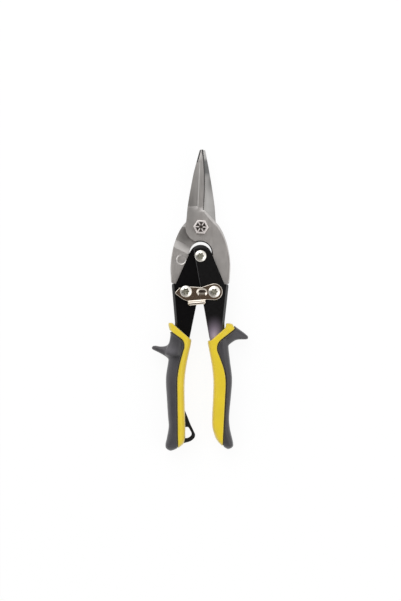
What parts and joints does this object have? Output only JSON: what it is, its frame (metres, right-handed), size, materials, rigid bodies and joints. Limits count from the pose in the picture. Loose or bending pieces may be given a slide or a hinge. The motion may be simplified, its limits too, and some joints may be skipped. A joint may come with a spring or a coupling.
{
  "type": "aviation snips",
  "caption": "Compound-leverage hand snips with long serrated jaws, latched sheet-steel handles and two-tone grips with finger guards, for cutting sheet metal.",
  "frame": {"origin": "on the main pivot's axis, on the surface that the snips lie on", "axes": "+Y towards the jaw tips, +X towards the right handle, +Z out of the front face"},
  "size_m": [0.0793, 0.2502, 0.0225],
  "materials": {
    "blade_steel": "satin ground forging",
    "bolt_nickel": "satin nickel plate",
    "screw_nickel": "bright nickel plate",
    "latch_nickel": "polished nickel plate",
    "zinc_steel": "zinc plate",
    "spring_steel": "drawn wire",
    "black_paint": "semi-gloss black coat",
    "black_loop": "satin black",
    "yellow_plastic": "satin moulded",
    "grey_rubber": "matte overmould"
  },
  "bodies": {
    "handle_right": {"right_frame": "black_paint", "right_grip_core": "yellow_plastic", "right_grip_cover": "grey_rubber", "handle_pivot_screw": "screw_nickel", "handle_pivot_post": "zinc_steel", "spring_sleeve": "zinc_steel", "torsion_spring": "spring_steel", "right_tail_screw": "screw_nickel", "right_tail_post": "zinc_steel", "right_tail_washer": "zinc_steel"},
    "handle_left": {"left_frame": "black_paint", "left_grip_core": "yellow_plastic", "left_grip_cover": "grey_rubber", "hang_loop": "black_loop", "left_tail_screw": "screw_nickel", "left_tail_post": "zinc_steel", "left_tail_washer": "zinc_steel"},
    "blade_front": {"front_blade": "blade_steel", "pivot_bolt": "bolt_nickel", "pivot_spring_washer": "zinc_steel", "pivot_nut": "zinc_steel"},
    "blade_rear": {"rear_blade": "blade_steel"},
    "latch": {"latch_plate": "latch_nickel"}
  },
  "joints": [
    {"name": "handle_spread", "type": "hinge", "parent": "handle_right", "child": "handle_left", "pos_m": [0, -0.0241, 0.0104], "axis": [0, 0, -1], "range_deg": [0, 32], "deforming": ["torsion_spring"]},
    {"name": "front_blade_swing", "type": "hinge", "parent": "handle_right", "child": "blade_front", "pos_m": [0.0117, -0.0535, 0.0104], "axis": [0, 0, -1], "range_deg": [0, 7.6]},
    {"name": "rear_blade_swing", "type": "hinge", "parent": "handle_left", "child": "blade_rear", "pos_m": [-0.0117, -0.0535, 0.0104], "axis": [0, 0, 1], "range_deg": [0, 7.6]},
    {"name": "latch_release", "type": "hinge", "parent": "handle_right", "child": "latch", "pos_m": [0.0117, -0.0535, 0.0104], "axis": [0, 0, 1], "range_deg": [0, 48.5]}
  ],
  "couplings": [
    {"joint": "front_blade_swing", "follows": "handle_spread", "ratio": 0.23625},
    {"joint": "rear_blade_swing", "follows": "handle_spread", "ratio": 0.23625},
    {"joint": "latch_release", "follows": "handle_spread", "ratio": 1.5}
  ]
}
